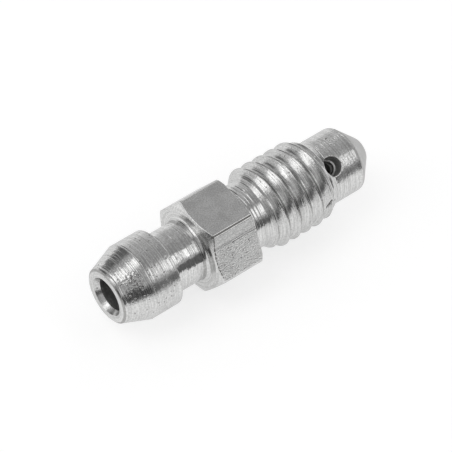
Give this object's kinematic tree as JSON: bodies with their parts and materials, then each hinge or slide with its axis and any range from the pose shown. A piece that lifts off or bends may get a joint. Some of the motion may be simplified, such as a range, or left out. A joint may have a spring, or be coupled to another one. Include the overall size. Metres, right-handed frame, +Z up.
{
  "type": "bleeder screw",
  "caption": "Hollow bleeder screw with a tapered hose barb, a hexagon, a threaded shank with an undercut, a side port and a conical sealing tip.",
  "frame": {"origin": "under the middle of the screw's length, on the surface that it lies on", "axes": "+X along the screw's axis towards its sealing tip, +Z up from the flat that it lies on"},
  "size_m": [0.028, 0.009, 0.008],
  "materials": {
    "steel": "bright turned steel with thin clear zinc plating"
  },
  "bodies": {
    "root": {"bleeder_screw": "steel"}
  },
  "joints": []
}
